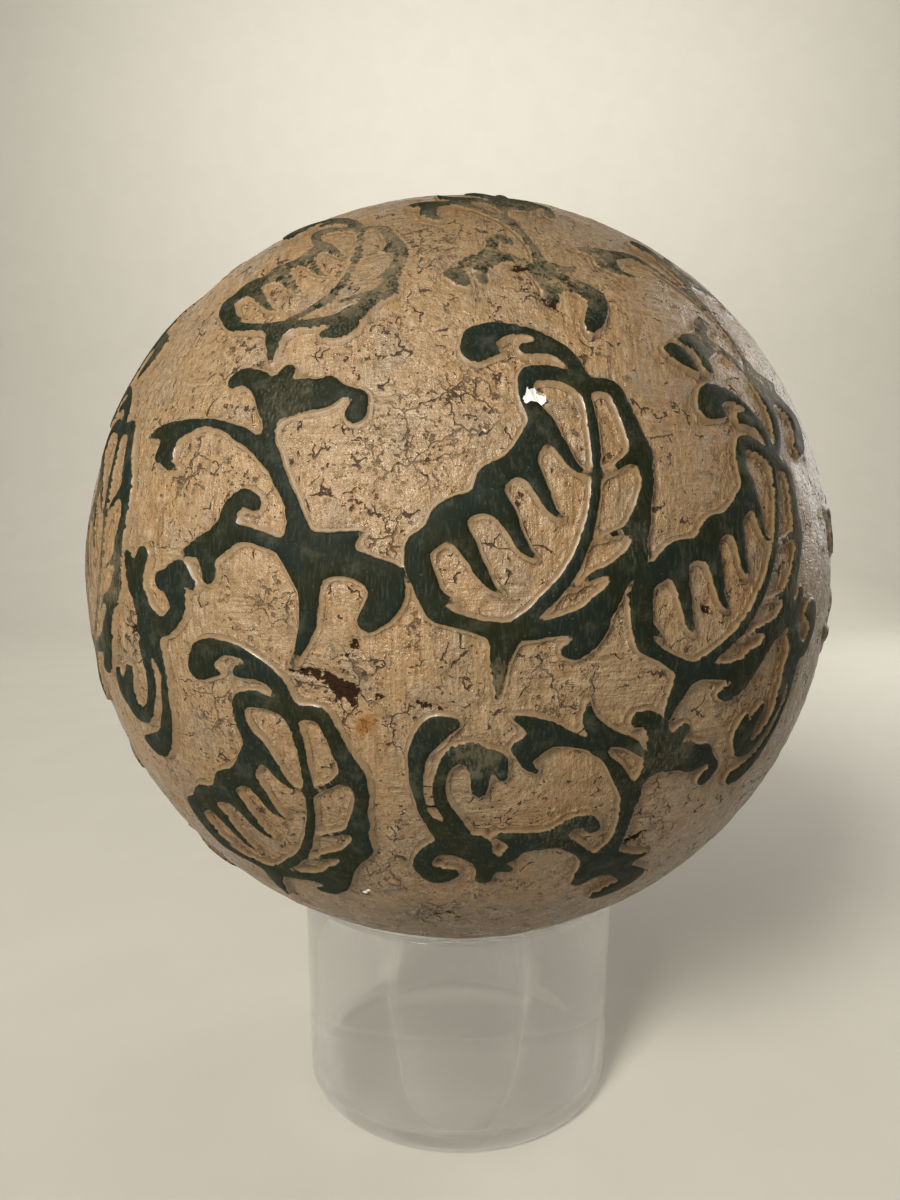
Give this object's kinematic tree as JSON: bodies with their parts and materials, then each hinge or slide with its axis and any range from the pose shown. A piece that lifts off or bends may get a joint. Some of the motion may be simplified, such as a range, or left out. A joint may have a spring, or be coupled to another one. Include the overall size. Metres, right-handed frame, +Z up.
{
  "type": "decorative sphere",
  "caption": "Round ornament with raised scrolling foliage on a rough buff ground, resting on a clear open glass stand.",
  "frame": {"origin": "middle of the glass stand's underside, on the surface that the ornament stands on", "axes": "+Z up through the middle of the stand and the ball; the front faces -Y"},
  "size_m": [0.248, 0.2484, 0.3066],
  "materials": {
    "ball": "satin, dark green foliage over a rough buff ground",
    "glass": "clear, polished"
  },
  "bodies": {
    "root": {"ball": "ball", "glass_stand": "glass"}
  },
  "joints": []
}
